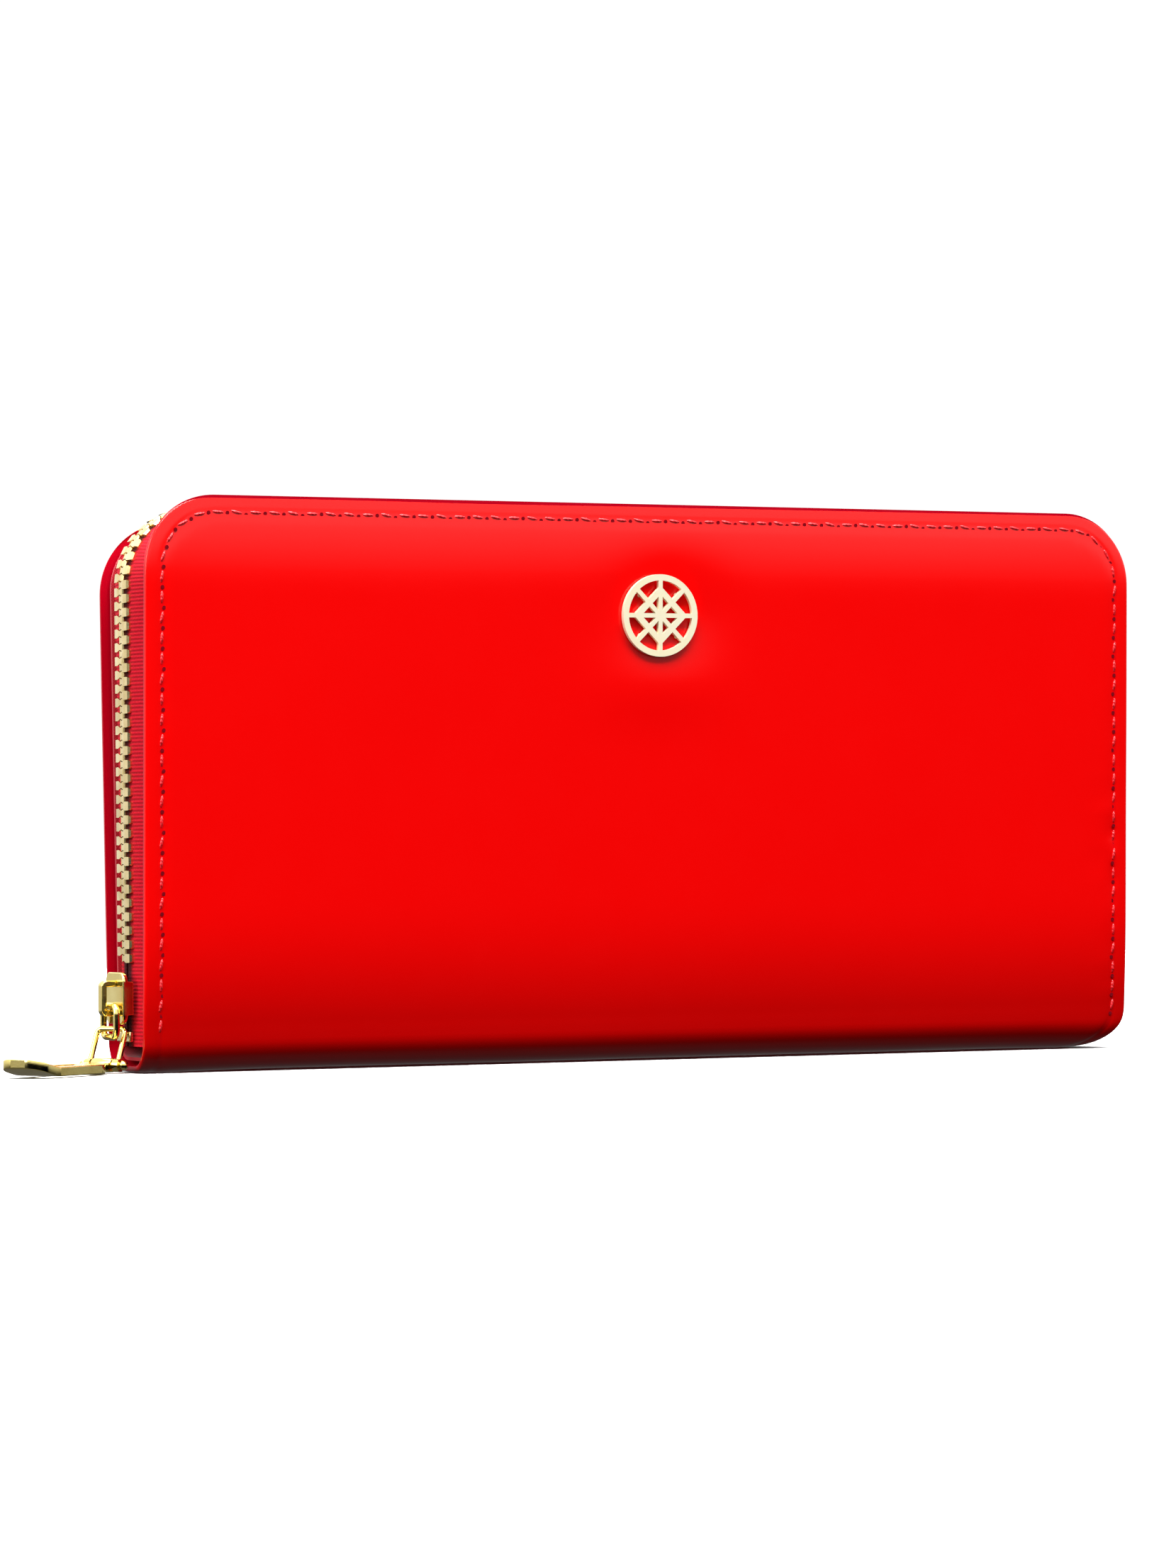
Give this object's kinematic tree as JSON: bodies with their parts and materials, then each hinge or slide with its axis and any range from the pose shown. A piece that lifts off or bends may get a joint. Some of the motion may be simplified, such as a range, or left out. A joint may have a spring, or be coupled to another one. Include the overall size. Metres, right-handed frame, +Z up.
{
  "type": "zip around wallet",
  "caption": "Long zip-around wallet with two leather covers folded on a flat spine, card pockets, a zipped coin divider, a metal zip on three sides and a hinged pull tab.",
  "frame": {"origin": "centre of the flat underside of the spine, on which the closed wallet stands", "axes": "+X along the length away from the slider's end, -Y out of the front cover, +Z up to the long zip"},
  "size_m": [0.2231, 0.0302, 0.1],
  "materials": {
    "patent_leather": "high-gloss patent",
    "board": "plain grey-brown board",
    "lining": "fine-grained matt",
    "card_pocket": "fine-grained matt",
    "zip_tape": "woven, ribbed",
    "thread": "waxed thread",
    "gold_metal": "polished pale gold",
    "steel_washer": "plain"
  },
  "bodies": {
    "spine": {"spine_leather": "patent_leather", "spine_board": "board", "spine_lining": "lining", "front_zip_stops": "gold_metal", "back_zip_stops": "gold_metal"},
    "front_cover": {"front_leather": "patent_leather", "front_board": "board", "front_lining": "lining", "front_pocket_1": "card_pocket", "front_pocket_2": "card_pocket", "front_pocket_3": "card_pocket", "front_pocket_4": "card_pocket", "front_zip_tape": "zip_tape", "front_zip_teeth": "gold_metal", "front_stitching": "thread", "emblem_plate": "gold_metal", "emblem_washer": "steel_washer"},
    "back_cover": {"back_leather": "patent_leather", "back_board": "board", "back_lining": "lining", "back_pocket_1": "card_pocket", "back_pocket_2": "card_pocket", "back_pocket_3": "card_pocket", "back_pocket_4": "card_pocket", "back_zip_tape": "zip_tape", "back_zip_teeth": "gold_metal", "back_stitching": "thread"},
    "divider": {"coin_front_wall": "lining", "coin_back_wall": "lining", "coin_frame": "lining", "coin_hem": "lining", "coin_front_tape": "zip_tape", "coin_back_tape": "zip_tape", "coin_front_teeth": "gold_metal", "coin_back_teeth": "gold_metal"},
    "slider": {"slider_body": "gold_metal", "slider_bail": "gold_metal"},
    "ring": {"pull_ring": "gold_metal"},
    "shackle": {"pull_shackle": "gold_metal", "pull_pin": "gold_metal"},
    "tab": {"pull_tab": "gold_metal"},
    "coin_slider": {"coin_slider": "gold_metal"},
    "coin_pull": {"coin_pull": "gold_metal"}
  },
  "joints": [
    {"name": "front_open", "type": "hinge", "parent": "spine", "child": "front_cover", "pos_m": [0, -0.00915, 0.008], "axis": [1, 0, 0], "range_deg": [0, 80], "deforming": ["front_zip_tape", "front_zip_teeth"]},
    {"name": "back_open", "type": "hinge", "parent": "spine", "child": "back_cover", "pos_m": [0, 0.00915, 0.008], "axis": [-1, 0, 0], "range_deg": [0, 80], "deforming": ["back_zip_tape", "back_zip_teeth"]},
    {"name": "divider_turn", "type": "hinge", "parent": "spine", "child": "divider", "pos_m": [0, 0, 0.0036], "axis": [1, 0, 0], "range_deg": [0, 40]},
    {"name": "slider_travel", "type": "slide", "parent": "back_cover", "child": "slider", "axis": [0, 0, 1], "range_m": [0, 0.06]},
    {"name": "ring_swing", "type": "hinge", "parent": "slider", "child": "ring", "pos_m": [-0.10085, 0, 0.0117], "axis": [0, 1, 0], "range_deg": [0, 45]},
    {"name": "shackle_swing", "type": "hinge", "parent": "ring", "child": "shackle", "pos_m": [-0.10085, 0, 0.0063], "axis": [-0.5592, 0.829, 0], "range_deg": [-16, 0]},
    {"name": "tab_swing", "type": "hinge", "parent": "shackle", "child": "tab", "pos_m": [-0.10251, -0.00112, 0.0015], "axis": [-0.5592, 0.829, 0], "range_deg": [-70, 35]},
    {"name": "coin_slider_travel", "type": "slide", "parent": "divider", "child": "coin_slider", "axis": [1, 0, 0], "range_m": [0, 0.15], "deforming": ["coin_front_tape", "coin_back_tape", "coin_front_teeth", "coin_back_teeth"]},
    {"name": "coin_pull_swing", "type": "hinge", "parent": "coin_slider", "child": "coin_pull", "pos_m": [-0.0795, 0, 0.0868], "axis": [0, -1, 0], "range_deg": [0, 75]}
  ],
  "couplings": [
    {"joint": "divider_turn", "follows": "front_open", "ratio": 0.5}
  ]
}
